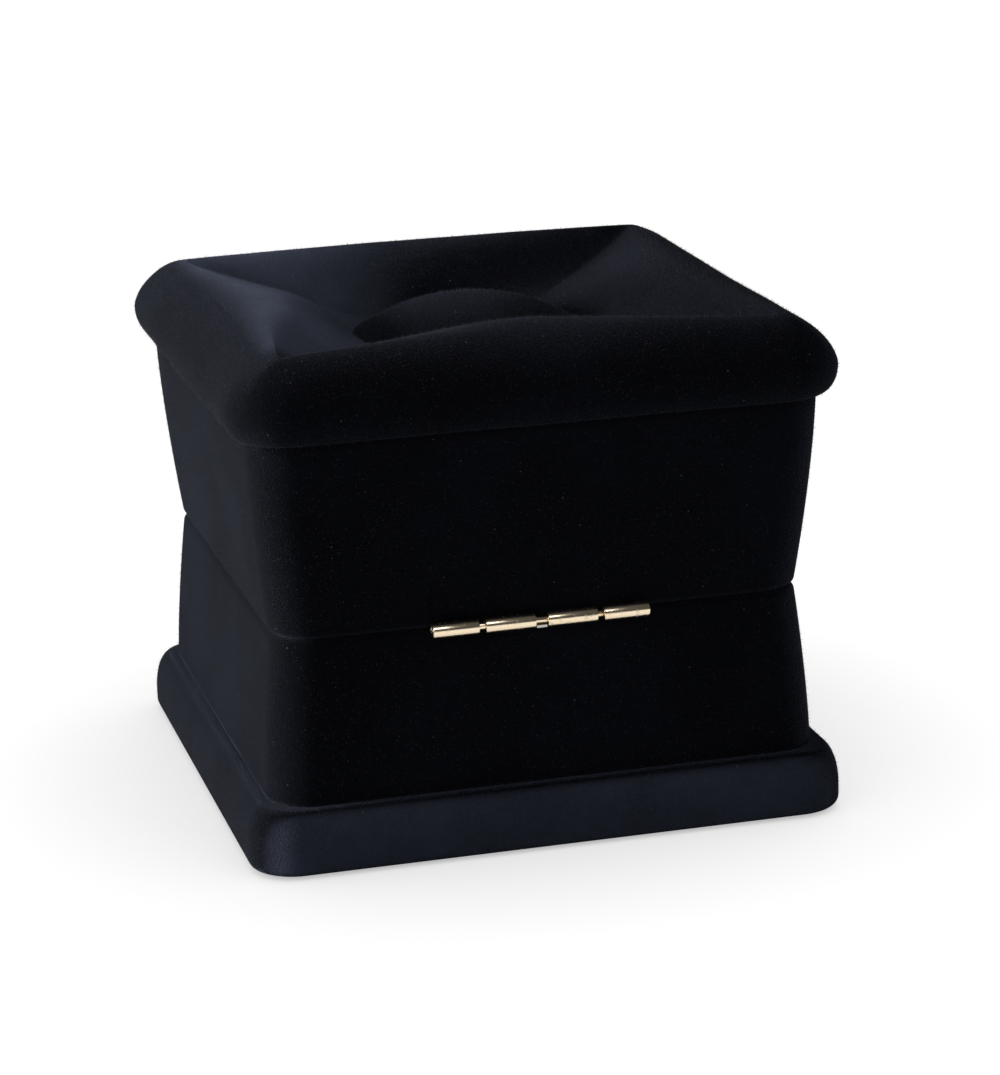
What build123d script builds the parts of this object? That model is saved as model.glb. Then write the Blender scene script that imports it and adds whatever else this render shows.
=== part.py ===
from build123d import *
import math
import os

# A closed ring box, in millimetres. +Z is up and z = 0 is the table. The hinge is at the
# back, on +Y, and the side that opens faces -Y.

# Heights of the outer form, from the table up.
BOTTOM_FELT = 0.6  # thickness of the felt sheet under the plinth
PLINTH_LIFT = 0.3  # the plinth's velvet stops this far above the table
PLINTH_HEIGHT = 6.8
BASE_WALL_HEIGHT = 17.5
LID_WALL_HEIGHT = 21.55
RIM_EDGE_HEIGHT = 3.8  # rounded lower edge of the padded rim
RIM_CROWN_HEIGHT = 5.05  # from the rim's widest line up to the crest

# Widths of the outer form, which is square in plan. The waist is where lid and base part, and
# each flare or overhang is on one side of what it grows from.
WAIST_WIDTH = 57.3
BASE_FLARE = 1.35  # from the waist out to the base's foot
PLINTH_OVERHANG = 2.5  # from the base's foot out to the plinth's edge
LID_FLARE = 1.95  # from the waist out to the lid wall's top
RIM_OVERHANG = 2.1  # from the lid wall's top out to the padded rim's edge

# Corner radii in plan.
PLINTH_CORNER = 4.85
BODY_CORNER = 4.5
RIM_CORNER = 5.8
CAVITY_CORNER = 2.6

# Curves of the outer form.
BASE_CURVE = 1.42  # power of the inward curve from the foot to the waist
LID_CURVE = 1.48  # power of the inward curve from the rim to the waist
WALL_SECTIONS = 6
PLINTH_TOP_INSET = 1.77
PLINTH_TOP_ROUND = 4.5
PLINTH_BOTTOM_INSET = 0.8
PLINTH_BOTTOM_ROUND = 1.0
RIM_EDGE_INSET = 1.5
RIM_CROWN_INSET = 10.8  # how far in from the rim the crest lies
CURVE_STEPS = 6

# The well in the padded top: a star of four hollow curves that becomes a circle.
WELL_RISE = 0.1  # the cut starts this far above the crest
WELL_TOP_MIDDLE = 18.4
WELL_TOP_POINT = 26.6
WELL_LIP_DEPTH = 0.8
WELL_LIP_MIDDLE = 16.2
WELL_LIP_POINT = 24.9
WELL_THROAT_DEPTH = 3.0
WELL_THROAT_MIDDLE = 14.4
WELL_THROAT_POINT = 17.4
WELL_FLOOR_RADIUS = 13.2
WELL_DEPTH = 5.7
DOME_BASE_RADIUS = 12.8
DOME_HEIGHT = 4.0

# Walls and skins.
VELVET = 0.5
SHELL_WALL = 1.6  # at the waist, where the shell is thinnest
BASE_FLOOR = 1.8
LID_ROOF = 1.8
TOP_BOARD_THICKNESS = 2.0
TOP_BOARD_SETBACK = 0.3  # the board's edge lies this far inside the lid wall's top
TOP_BOARD_CORNER = 3.4
FELT_MARGIN = 2.5
FELT_CORNER = 3.0

# Inside the box.
LINING = 0.8
LINING_SETBACK = 0.7  # the linings stop this far from the parting line
TRAY_FIT = 0.1
TRAY_CARD = 0.8
TRAY_HEIGHT = 8.5
FOAM_HEIGHT = 5.2
CUSHION_FIT = 0.3
CUSHION_CORNER = 1.6
RING_SLOT = 0.9
CUSHION_SIDE = 5.6
CUSHION_CROWN = 5.2
CUSHION_CROWN_INSET = 5.0
PUFF_CARD = 1.0
PUFF_FIT = 0.4
PUFF_CORNER = 2.0
PUFF_SIDE = 1.2
PUFF_CROWN = 4.0
PUFF_CROWN_INSET = 9.0

# The hinge, along X. Its two inner knuckles are on the lid.
HINGE_OFFSET = 0.8
OUTER_KNUCKLE = 4.95
INNER_KNUCKLE = 5.4
SIDE_GAP = 0.7
MIDDLE_GAP = 1.3
BARREL_RADIUS = 0.85
BARREL_CLEARANCE = 0.05  # between the barrel and the waist
PIN_RADIUS = 0.4
PIN_CLEARANCE = 0.03
LEAF_FIT = 0.05
LEAF_LENGTH = 7.5
RIVET_RADIUS = 0.7
RIVET_COVER = 0.28  # what is left of the shell's wall behind a rivet, at the waist
RIVET_SPACING = 14.0
RIVET_DROP = 4.2  # from the parting line to a rivet's middle
SPRING_WIDTH = 1.1
SPRING_THICKNESS = 0.25
SPRING_LENGTH = 6.5
SPRING_GAP = 0.05  # between the pin and the tongue
TONGUE_REACH = 0.5  # how far the tongue passes the pin's middle

# Levels that follow from the heights.
PLINTH_TOP = PLINTH_LIFT + PLINTH_HEIGHT
PARTING = PLINTH_TOP + BASE_WALL_HEIGHT
RIM_BOTTOM = PARTING + LID_WALL_HEIGHT
RIM_MIDDLE = RIM_BOTTOM + RIM_EDGE_HEIGHT
CREST = RIM_MIDDLE + RIM_CROWN_HEIGHT
WELL_FLOOR = CREST - WELL_DEPTH
BASE_FLOOR_TOP = PLINTH_TOP + BASE_FLOOR
ROOF_UNDERSIDE = RIM_BOTTOM - LID_ROOF

# Half widths that follow from the waist and the walls.
WAIST_HALF = WAIST_WIDTH / 2
BASE_FOOT_HALF = WAIST_HALF + BASE_FLARE
PLINTH_HALF = BASE_FOOT_HALF + PLINTH_OVERHANG
LID_TOP_HALF = WAIST_HALF + LID_FLARE
RIM_HALF = LID_TOP_HALF + RIM_OVERHANG
CAVITY_HALF = WAIST_HALF - VELVET - SHELL_WALL
LINED_HALF = CAVITY_HALF - LINING
TRAY_HALF = LINED_HALF - TRAY_FIT

# The hinge's axis runs along X through this y, at the parting line.
AXIS_Y = WAIST_HALF + BARREL_RADIUS + BARREL_CLEARANCE
BORE_RADIUS = PIN_RADIUS + PIN_CLEARANCE
LEAF_THICKNESS = BARREL_RADIUS - BORE_RADIUS
INNER_END = MIDDLE_GAP / 2 + INNER_KNUCKLE
HINGE_HALF = INNER_END + SIDE_GAP + OUTER_KNUCKLE


def section(half_x, half_y, corner, z):
    """A rounded rectangle at height z."""
    return Plane.XY.offset(z) * RectangleRounded(2 * half_x, 2 * half_y, corner)


def tube_block(half, corner, low, high):
    """A square block with rounded upright edges, from low to high."""
    return extrude(section(half, half, corner, low), high - low)


def block(x_range, y_range, z_range):
    """A plain block between the given pairs of coordinates."""
    ranges = (x_range, y_range, z_range)
    middle = [(low + high) / 2 for low, high in ranges]
    return Pos(*middle) * Box(*[high - low for low, high in ranges])


def base_half(z):
    """Half the base's outer width at height z."""
    rise = (z - PLINTH_TOP) / BASE_WALL_HEIGHT
    return BASE_FOOT_HALF - BASE_FLARE * rise**BASE_CURVE


def lid_half(z):
    """Half the lid wall's outer width at height z."""
    drop = (RIM_BOTTOM - z) / LID_WALL_HEIGHT
    return LID_TOP_HALF - LID_FLARE * drop**LID_CURVE


def wall_block(half_at, low, high, inset):
    """A solid with the flared outline of the base or lid, drawn in by inset."""
    step = (high - low) / (WALL_SECTIONS - 1)
    levels = [low + step * i for i in range(WALL_SECTIONS)]
    corner = BODY_CORNER - inset
    return loft([section(half_at(z) - inset, half_at(z) - inset, corner, z) for z in levels])


def quarter_curve(depth, rise, steps):
    """Inset and rise of points on a quarter ellipse that starts upright and ends level."""
    angles = [math.pi / 2 * i / steps for i in range(1, steps + 1)]
    return [(depth * (1 - math.cos(a)), rise * math.sin(a)) for a in angles]


def crowned_block(half_x, half_y, corner, start, side, crown, crown_inset, way):
    """A cushion from start in the way given (1 up, -1 down): upright sides, then a crown."""
    rings = [(0, 0), (0, side)]
    rings += [(inset, side + rise) for inset, rise in quarter_curve(crown_inset, crown, CURVE_STEPS)]
    sections = [section(half_x - inset, half_y - inset, corner, start + way * z) for inset, z in rings]
    return loft(sections, ruled=True)


def plinth_block(inset):
    """The plinth's outline, drawn in by inset, with rounded upper and lower edges."""
    half = PLINTH_HALF - inset
    corner = PLINTH_CORNER - inset
    low = PLINTH_LIFT + inset
    high = PLINTH_TOP - inset
    lower = quarter_curve(PLINTH_BOTTOM_INSET, PLINTH_BOTTOM_ROUND, CURVE_STEPS - 1)
    upper = quarter_curve(PLINTH_TOP_INSET, PLINTH_TOP_ROUND, CURVE_STEPS)
    rings = [(draw, low + PLINTH_BOTTOM_ROUND - rise) for draw, rise in reversed(lower)]
    rings += [(0, low + PLINTH_BOTTOM_ROUND), (0, high - PLINTH_TOP_ROUND)]
    rings += [(draw, high - PLINTH_TOP_ROUND + rise) for draw, rise in upper]
    return loft([section(half - draw, half - draw, corner, z) for draw, z in rings], ruled=True)


def rim_block():
    """The padded top before its well is cut: a rounded lower edge and a broad crown."""
    half = RIM_HALF
    lower = quarter_curve(RIM_EDGE_INSET, RIM_EDGE_HEIGHT, CURVE_STEPS)
    upper = quarter_curve(RIM_CROWN_INSET, RIM_CROWN_HEIGHT, CURVE_STEPS)
    rings = [(draw, RIM_MIDDLE - rise) for draw, rise in reversed(lower)]
    rings += [(0, RIM_MIDDLE)]
    rings += [(draw, RIM_MIDDLE + rise) for draw, rise in upper]
    return loft([section(half - draw, half - draw, RIM_CORNER, z) for draw, z in rings], ruled=True)


def star(middle, point, z):
    """Four arcs through points at the middles of the sides and at the diagonals."""
    tips = [(point, point), (-point, point), (-point, -point), (point, -point)]
    middles = [(0, middle), (-middle, 0), (0, -middle), (middle, 0)]
    arcs = []
    for i, tip in enumerate(tips):
        arcs.append(ThreePointArc(tip, middles[i], tips[(i + 1) % len(tips)]))
    return Plane.XY.offset(z) * make_face(arcs)


def well_block():
    """The hollow in the padded top."""
    rings = [
        star(WELL_TOP_MIDDLE, WELL_TOP_POINT, CREST + WELL_RISE),
        star(WELL_LIP_MIDDLE, WELL_LIP_POINT, CREST - WELL_LIP_DEPTH),
        star(WELL_THROAT_MIDDLE, WELL_THROAT_POINT, CREST - WELL_THROAT_DEPTH),
        star(WELL_FLOOR_RADIUS, WELL_FLOOR_RADIUS / math.sqrt(2), WELL_FLOOR),
    ]
    return loft(rings, ruled=True)


def base_cavity():
    return tube_block(CAVITY_HALF, CAVITY_CORNER, BASE_FLOOR_TOP, PARTING)


def lid_cavity():
    return tube_block(CAVITY_HALF, CAVITY_CORNER, PARTING, ROOF_UNDERSIDE)


def away(side, near, far):
    """The z range from near to far off the parting line: side 1 is up, -1 down."""
    return tuple(sorted((PARTING + side * near, PARTING + side * far)))


def knuckle_ranges(side):
    """The x ranges of the knuckles: the inner two on the lid, the outer two on the base."""
    near = MIDDLE_GAP / 2 if side > 0 else INNER_END + SIDE_GAP
    far = INNER_END if side > 0 else HINGE_HALF
    return [(HINGE_OFFSET - far, HINGE_OFFSET - near), (HINGE_OFFSET + near, HINGE_OFFSET + far)]


def x_cylinder(radius, x_range, y, z):
    """A cylinder along X."""
    middle = (x_range[0] + x_range[1]) / 2
    return Pos(middle, y, z) * Rot(0, 90, 0) * Cylinder(radius, x_range[1] - x_range[0])


def leaf_blocks(side, fit):
    """The leaf's plate against the shell and its necks across the wall, with room around."""
    plate_x = (HINGE_OFFSET - HINGE_HALF - fit, HINGE_OFFSET + HINGE_HALF + fit)
    plate_y = (CAVITY_HALF, CAVITY_HALF + LEAF_THICKNESS + fit)
    blocks = block(plate_x, plate_y, away(side, 0, LEAF_LENGTH + fit))
    for low, high in knuckle_ranges(side):
        neck_z = away(side, 0, LEAF_THICKNESS + fit)
        blocks += block((low - fit, high + fit), (CAVITY_HALF, AXIS_Y - BORE_RADIUS), neck_z)
    return blocks


def rivets(side):
    """Two rivets through a leaf's plate into the shell, flush with the plate."""
    length = SHELL_WALL - RIVET_COVER
    middle_y = CAVITY_HALF + length / 2
    pair = []
    for x in (HINGE_OFFSET - RIVET_SPACING / 2, HINGE_OFFSET + RIVET_SPACING / 2):
        rivet = Pos(x, middle_y, PARTING + side * RIVET_DROP) * Rot(90, 0, 0)
        pair.append(rivet * Cylinder(RIVET_RADIUS, length))
    return Compound(children=pair)


def hinge_leaf(side):
    """A brass leaf: its plate, its necks and the knuckles that they curl into."""
    leaf = leaf_blocks(side, 0)
    for x_range in knuckle_ranges(side):
        leaf += x_cylinder(BARREL_RADIUS, x_range, AXIS_Y, PARTING)
    full = (HINGE_OFFSET - HINGE_HALF, HINGE_OFFSET + HINGE_HALF)
    leaf -= x_cylinder(BORE_RADIUS, full, AXIS_Y, PARTING)
    for rivet in rivets(side).solids():
        leaf -= rivet
    return leaf


def hinge_pin():
    full = (HINGE_OFFSET - HINGE_HALF, HINGE_OFFSET + HINGE_HALF)
    return x_cylinder(PIN_RADIUS, full, AXIS_Y, PARTING)


def spring_blocks(fit):
    """The snap spring: a strip between shell and leaf, and a tongue under the pin."""
    x_range = (HINGE_OFFSET - SPRING_WIDTH / 2 - fit, HINGE_OFFSET + SPRING_WIDTH / 2 + fit)
    inner_y = CAVITY_HALF + LEAF_THICKNESS
    tongue_top = PARTING - PIN_RADIUS - SPRING_GAP
    tongue_bottom = tongue_top - SPRING_THICKNESS
    strip_y = (inner_y, inner_y + SPRING_THICKNESS + fit)
    strip = block(x_range, strip_y, (PARTING - SPRING_LENGTH - fit, tongue_top))
    tongue = block(x_range, (inner_y, AXIS_Y + TONGUE_REACH), (tongue_bottom - fit, tongue_top))
    return strip + tongue


def spring_slot():
    """The room that the spring needs, open up to the parting line."""
    x_range = (HINGE_OFFSET - SPRING_WIDTH / 2 - LEAF_FIT, HINGE_OFFSET + SPRING_WIDTH / 2 + LEAF_FIT)
    inner_y = CAVITY_HALF + LEAF_THICKNESS
    above = block(x_range, (inner_y, AXIS_Y), (PARTING - PIN_RADIUS - SPRING_THICKNESS, PARTING))
    return spring_blocks(LEAF_FIT) + above


def base_core():
    core = wall_block(base_half, PLINTH_TOP, PARTING - VELVET, VELVET)
    core -= base_cavity()
    core -= leaf_blocks(-1, LEAF_FIT)
    core -= spring_slot()
    for rivet in rivets(-1).solids():
        core -= rivet
    return core


def base_wrap():
    wrap = wall_block(base_half, PLINTH_TOP, PARTING, 0)
    wrap -= wall_block(base_half, PLINTH_TOP, PARTING - VELVET, VELVET)
    wrap -= base_cavity()
    wrap -= leaf_blocks(-1, LEAF_FIT)
    wrap -= spring_slot()
    return wrap


def lid_core():
    core = wall_block(lid_half, PARTING + VELVET, RIM_BOTTOM, VELVET)
    core -= lid_cavity()
    core -= leaf_blocks(1, LEAF_FIT)
    for rivet in rivets(1).solids():
        core -= rivet
    return core


def lid_wrap():
    wrap = wall_block(lid_half, PARTING, RIM_BOTTOM, 0)
    wrap -= wall_block(lid_half, PARTING + VELVET, RIM_BOTTOM, VELVET)
    wrap -= lid_cavity()
    wrap -= leaf_blocks(1, LEAF_FIT)
    return wrap


def plinth_core():
    core = plinth_block(VELVET)
    return core - bottom_felt()


def plinth_wrap():
    wrap = plinth_block(0) - plinth_block(VELVET)
    return wrap - bottom_felt()


def bottom_felt():
    return tube_block(PLINTH_HALF - FELT_MARGIN, FELT_CORNER, 0, BOTTOM_FELT)


def top_board():
    half = LID_TOP_HALF - TOP_BOARD_SETBACK
    return tube_block(half, TOP_BOARD_CORNER, RIM_BOTTOM, RIM_BOTTOM + TOP_BOARD_THICKNESS)


def top_pad():
    return rim_block() - well_block() - top_board()


def top_dome():
    radius = (DOME_BASE_RADIUS**2 + DOME_HEIGHT**2) / (2 * DOME_HEIGHT)
    ball = Pos(0, 0, WELL_FLOOR + DOME_HEIGHT - radius) * Sphere(radius)
    reach = (-DOME_BASE_RADIUS, DOME_BASE_RADIUS)
    return ball & block(reach, reach, (WELL_FLOOR, WELL_FLOOR + DOME_HEIGHT))


def lining(low, high):
    """A square sleeve against the inside of the shell."""
    sleeve = tube_block(CAVITY_HALF, CAVITY_CORNER, low, high)
    return sleeve - tube_block(LINED_HALF, CAVITY_CORNER - LINING, low, high)


def base_lining():
    return lining(BASE_FLOOR_TOP, PARTING - LINING_SETBACK)


def lid_lining():
    return lining(PARTING + LINING_SETBACK, ROOF_UNDERSIDE)


def insert_tray():
    corner = CAVITY_CORNER - LINING
    tray = tube_block(TRAY_HALF, corner, BASE_FLOOR_TOP, BASE_FLOOR_TOP + TRAY_HEIGHT)
    floor = BASE_FLOOR_TOP + TRAY_CARD
    return tray - tube_block(TRAY_HALF - TRAY_CARD, corner - TRAY_CARD, floor, BASE_FLOOR_TOP + TRAY_HEIGHT)


def foam_riser():
    floor = BASE_FLOOR_TOP + TRAY_CARD
    corner = CAVITY_CORNER - LINING - TRAY_CARD
    return tube_block(TRAY_HALF - TRAY_CARD, corner, floor, floor + FOAM_HEIGHT)


def ring_cushion(side):
    """One of the two rolls that grip a ring between them: side 1 is the back, -1 the front."""
    outer = TRAY_HALF - TRAY_CARD - CUSHION_FIT
    half_y = (outer - RING_SLOT / 2) / 2
    start = BASE_FLOOR_TOP + TRAY_CARD + FOAM_HEIGHT
    roll = crowned_block(
        outer, half_y, CUSHION_CORNER, start, CUSHION_SIDE, CUSHION_CROWN, CUSHION_CROWN_INSET, 1
    )
    return Pos(0, side * (RING_SLOT / 2 + half_y), 0) * roll


def puff_board():
    half = LINED_HALF - PUFF_FIT
    return tube_block(half, PUFF_CORNER, ROOF_UNDERSIDE - PUFF_CARD, ROOF_UNDERSIDE)


def lid_puff():
    half = LINED_HALF - PUFF_FIT
    start = ROOF_UNDERSIDE - PUFF_CARD
    return crowned_block(half, half, PUFF_CORNER, start, PUFF_SIDE, PUFF_CROWN, PUFF_CROWN_INSET, -1)


PIECES = {
    "lid_core": lid_core(),
    "lid_wrap": lid_wrap(),
    "top_board": top_board(),
    "top_pad": top_pad(),
    "top_dome": top_dome(),
    "lid_lining": lid_lining(),
    "puff_board": puff_board(),
    "lid_puff": lid_puff(),
    "lid_hinge_leaf": hinge_leaf(1),
    "lid_leaf_rivets": rivets(1),
    "base_core": base_core(),
    "base_wrap": base_wrap(),
    "plinth_core": plinth_core(),
    "plinth_wrap": plinth_wrap(),
    "bottom_felt": bottom_felt(),
    "base_lining": base_lining(),
    "insert_tray": insert_tray(),
    "foam_riser": foam_riser(),
    "ring_cushion_front": ring_cushion(-1),
    "ring_cushion_back": ring_cushion(1),
    "base_hinge_leaf": hinge_leaf(-1),
    "base_leaf_rivets": rivets(-1),
    "hinge_pin": hinge_pin(),
    "snap_spring": spring_blocks(0),
}

os.makedirs("parts", exist_ok=True)
for name, shape in PIECES.items():
    export_step(shape, f"parts/{name}.step")
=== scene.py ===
import math

import bmesh
import bpy
from mathutils import Matrix, Vector, noise


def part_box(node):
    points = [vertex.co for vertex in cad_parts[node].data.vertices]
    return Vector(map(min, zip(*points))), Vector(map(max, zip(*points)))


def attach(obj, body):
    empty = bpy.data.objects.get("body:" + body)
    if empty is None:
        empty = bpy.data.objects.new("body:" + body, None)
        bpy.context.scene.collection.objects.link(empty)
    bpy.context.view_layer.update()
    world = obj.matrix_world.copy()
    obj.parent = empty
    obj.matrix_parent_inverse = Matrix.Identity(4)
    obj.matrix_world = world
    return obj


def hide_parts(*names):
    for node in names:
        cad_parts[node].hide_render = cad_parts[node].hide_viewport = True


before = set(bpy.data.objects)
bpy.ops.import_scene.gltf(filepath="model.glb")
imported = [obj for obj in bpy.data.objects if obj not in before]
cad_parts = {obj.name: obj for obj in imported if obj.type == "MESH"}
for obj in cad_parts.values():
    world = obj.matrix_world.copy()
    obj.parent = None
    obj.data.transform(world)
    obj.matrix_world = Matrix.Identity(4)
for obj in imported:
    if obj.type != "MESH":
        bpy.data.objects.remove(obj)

bl_info = {
    "name": "Velvet Ring Box",
    "version": (1, 0, 0),
    "blender": (4, 5, 0),
    "location": "View3D > Sidebar > Ring Box",
    "description": "Dresses the frame of a hinged ring box in velvet, satin and brass",
    "category": "Add Mesh",
}

MM = 0.001
UP = Vector((0, 0, 1))

# The frame's own places, in metres.
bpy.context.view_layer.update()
PLINTH_LOW, PLINTH_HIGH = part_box("plinth_wrap")
BASE_LOW, BASE_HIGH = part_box("base_wrap")
LID_LOW, LID_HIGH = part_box("lid_wrap")
PAD_LOW, PAD_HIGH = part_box("top_pad")
DOME_LOW, DOME_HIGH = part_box("top_dome")
BOARD_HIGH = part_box("top_board")[1]
FOAM_LOW, FOAM_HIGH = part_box("foam_riser")
PIN_LOW, PIN_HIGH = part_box("hinge_pin")
CAVITY_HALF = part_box("base_lining")[1].x
PARTING = LID_LOW.z
PIN_MIDDLE = (PIN_LOW + PIN_HIGH) / 2
PIN_RADIUS = (PIN_HIGH.z - PIN_LOW.z) / 2
BARREL_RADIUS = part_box("lid_hinge_leaf")[1].y - PIN_MIDDLE.y
BARREL_CLEARANCE = 0.05 * MM
WAIST_HALF = PIN_MIDDLE.y - BARREL_RADIUS - BARREL_CLEARANCE

# The photograph's camera, from a fit of the box's outline.
CAMERA_PLACE = (92.97 * MM, 365.31 * MM, 133.01 * MM)
CAMERA_YAW = 14.692
CAMERA_PITCH = 15.935
CAMERA_ROLL = -1.622
CAMERA_LENS = 117.28
SENSOR_WIDTH = 36
NEAREST, FARTHEST = 0.01, 20

# Where the lamps stand and how wide they are, in metres.
LAMPS = {
    "key": ((0.45, -0.06, 0.11), 0.22),
    "near": ((0.040, -0.015, 0.105), 0.04),
    "fill": ((-0.30, -0.45, 0.45), 0.50),
    "back": ((0.02, 0.42, 0.40), 0.16),
}

# The floor: its half width, its brightest white, and what it gives back to the camera and to the box.
FLOOR_HALF = 3
FLOOR_WHITE = 1.04
SEEN_BOUNCE = 0.05
ROOM_BOUNCE = 0.4

# How finely the shapes are divided.
SIDE_STEPS = 44
CORNER_STEPS = 18
WALL_STEPS = 28
INNER_WALL_STEPS = 11
LIP_STEPS = 6
FOOT_STEPS = 6
SHOULDER_STEPS = 14
RIM_EDGE_STEPS = 12
CROWN_STEPS = 22
WELL_STEPS = 40
PAD_EDGE_STEPS = 12
DOME_RINGS = 26
DOME_STEPS = 96
PIN_STEPS = 40
BARREL_STEPS = 56

# How far the plinth's velvet is tucked in underneath and on top.
PLINTH_FOOT_TUCK = 1.2 * MM
PLINTH_TOP_TUCK = 3 * MM

# The cloth step that blows the pads up.
PAD_VOXEL = 0.9 * MM
PAD_PRESSURE = 3.0
PAD_REACH = 0.5 * MM
CLOTH_QUALITY = 6
CLOTH_FRAMES = 18

# The hinge's fit and its softened edges.
PIN_CLEARANCE = 0.03 * MM
KNUCKLE_SOFTENING = 0.09 * MM
PLATE_SOFTENING = 0.05 * MM
LEAST_GAP = 0.3 * MM

# The single fibres: shares of their length, and a seed for each body.
LEAST_FIBRE, MOST_FIBRE = 0.5, 1.2
LID_PILE_SEED = 11
BASE_PILE_SEED = 23


# ---------------------------------------------------------------- sizes and colours


def length(name, description, millimetres):
    """A length that the user may change, in metres."""
    return bpy.props.FloatProperty(
        name=name, description=description, default=millimetres * MM, unit="LENGTH", precision=5
    )


def colour(name, description, red, green, blue):
    """A colour that the user may change, in linear light."""
    return bpy.props.FloatVectorProperty(
        name=name, description=description, default=(red, green, blue), subtype="COLOR", min=0, max=1
    )


def lamp_power(name, description, default):
    """A lamp's power that the user may change."""
    return bpy.props.FloatProperty(name=name, description=description, default=default, unit="POWER")


def amount(name, description, default):
    """A plain number that the user may change."""
    return bpy.props.FloatProperty(name=name, description=description, default=default)


class RingBoxSizes(bpy.types.PropertyGroup):
    """Sizes of the velvet form that the frame's boxes don't give."""

    body_corner: length("Body corner", "Corner radius of the lid's and base's walls", 4.5)
    plinth_corner: length("Plinth corner", "Corner radius of the plinth", 4.85)
    rim_corner: length("Rim corner", "Corner radius of the padded rim", 5.7)
    velvet: length("Velvet", "Thickness of the velvet skin", 0.5)
    pile_length: length("Pile length", "Length of the velvet's single fibres", 0.32)
    pile_density: amount("Pile density", "Fibres that stand out on a square millimetre", 5.0)
    lip: length("Lip", "Radius of the velvet's turn at the parting line", 0.9)
    base_curve: amount("Base curve", "Power of the curve from foot to waist", 1.42)
    lid_curve: amount("Lid curve", "Power of the curve from rim to waist", 1.48)
    plinth_top_inset: length("Plinth shoulder", "How far in the plinth's upper edge lies", 1.77)
    plinth_top_round: length("Plinth round", "Height of the plinth's rounded shoulder", 4.5)
    plinth_foot_inset: length("Plinth foot", "How far in the plinth's lower edge lies", 0.8)
    plinth_foot_round: length("Plinth foot round", "Height of the rounding at the foot", 1.0)
    rim_edge_inset: length("Rim edge", "How far in the rim's lower edge lies", 2.0)
    rim_edge_height: length("Rim edge height", "Height of the rim's rounded lower edge", 3.1)
    rim_skirt: length("Rim skirt", "How far the rim's padding hangs over the lid's wall", 0.35)
    crown_power: amount("Crown", "Power of the crown's outer curve, where 2 is an ellipse", 1.78)
    crest_middle: length("Crest middle", "Half width across the crest at mid side", 23.2)
    crest_point: length("Crest corner", "Half width across the crest at its corners", 26.7)
    crest_drop: length("Crest drop", "How much lower the crest is at the corners", 0.8)
    well_middle: length("Well middle", "Half width that steers the well at mid side", 18)
    well_point: length("Well corner", "Half width that steers the well at its points", 26)
    well_bend: amount("Well bend", "How late along a side the well bends out to its points", 2)
    middle_fall: amount("Middle fall", "How late the cushions drop towards the floor at mid side", 2.5)
    point_fall: amount("Point fall", "How late the well's points drop towards the floor", 1.34)
    well_floor: length("Well floor", "Radius of the well's round floor", 12.9)


class RingBoxColours(bpy.types.PropertyGroup):
    """Colours of the finishes, in linear light."""

    velvet: colour("Velvet", "Depth of the navy black pile", 0.0010, 0.0014, 0.0028)
    velvet_light: colour("Brushed velvet", "Pile that is brushed towards the light", 0.0062, 0.0074, 0.0122)
    # Painted light: a lighter tone on the plinth where it faces +Y, standing in for light that falls there.
    plinth_painted_light: colour("Pressed velvet", "Pile where its nap is turned up", 0.064, 0.075, 0.114)
    velvet_sheen: colour("Velvet sheen", "Light that the pile's tips catch", 0.112, 0.123, 0.178)
    # Painted light: a lighter tone on the padded top towards +X, standing in for light from that side.
    top_painted_light: colour("Brushed top", "Pile of the padded top that is brushed inwards", 0.112, 0.130, 0.190)
    top_sheen: colour("Top sheen", "Light that the pile's tips catch on the padded top", 0.052, 0.057, 0.084)
    fibre: colour("Fibre", "Single fibres that stand out of the pile", 0.070, 0.075, 0.092)
    # Also the colour of the painted glints: specks that stand in for fibre tips catching light.
    lint_and_glint: colour("Lint", "Specks of lint on the pile", 0.15, 0.15, 0.16)
    ivory: colour("Ivory velvet", "The ring cushion's pile", 0.68, 0.63, 0.54)
    satin: colour("Satin", "The lid's pad and the linings", 0.74, 0.70, 0.62)
    brass: colour("Hinge metal", "Pale gold plating", 0.90, 0.75, 0.54)
    steel: colour("Spring steel", "The snap spring", 0.50, 0.47, 0.42)
    card: colour("Card", "Grey board of the tray", 0.40, 0.37, 0.32)
    felt: colour("Felt", "Black felt under the plinth", 0.012, 0.012, 0.014)
    shell: colour("Shell", "Moulded shells under the velvet", 0.020, 0.020, 0.024)
    foam: colour("Foam", "Block under the ring cushions", 0.60, 0.58, 0.52)


class RingBoxStage(bpy.types.PropertyGroup):
    """Light levels of the plain studio."""

    key: lamp_power("Key lamp", "Lamp at the photo's left", 2.9)
    fill: lamp_power("Fill lamp", "Lamp over the front", 0.05)
    near: lamp_power("Near lamp", "Small lamp above the photo's left side", 0.007)
    back: lamp_power("Back lamp", "Lamp behind and above the hinge", 0.30)
    room: amount("Room", "Light that the room gives from all sides", 0.09)
    floor: amount("Floor", "Share of the floor's white that no shadow darkens", 0.46)
    halo: length("Halo", "Reach of the soft shadow around the plinth", 40)


def sizes():
    return bpy.context.scene.ring_box_sizes


def colours():
    return bpy.context.scene.ring_box_colours


# ---------------------------------------------------------------- node expressions


class Wire:
    """A node's output socket that takes part in arithmetic."""

    def __init__(self, net, socket):
        self.net = net
        self.socket = socket

    def __add__(self, other):
        return self.net.maths("ADD", self, other)

    __radd__ = __add__

    def __sub__(self, other):
        return self.net.maths("SUBTRACT", self, other)

    def __rsub__(self, other):
        return self.net.maths("SUBTRACT", other, self)

    def __mul__(self, other):
        return self.net.maths("MULTIPLY", self, other)

    __rmul__ = __mul__

    def __neg__(self):
        return self.net.maths("MULTIPLY", self, -1)

    def __gt__(self, other):
        return self.net.maths("GREATER_THAN", self, other)

    def __lt__(self, other):
        return self.net.maths("LESS_THAN", self, other)


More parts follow.
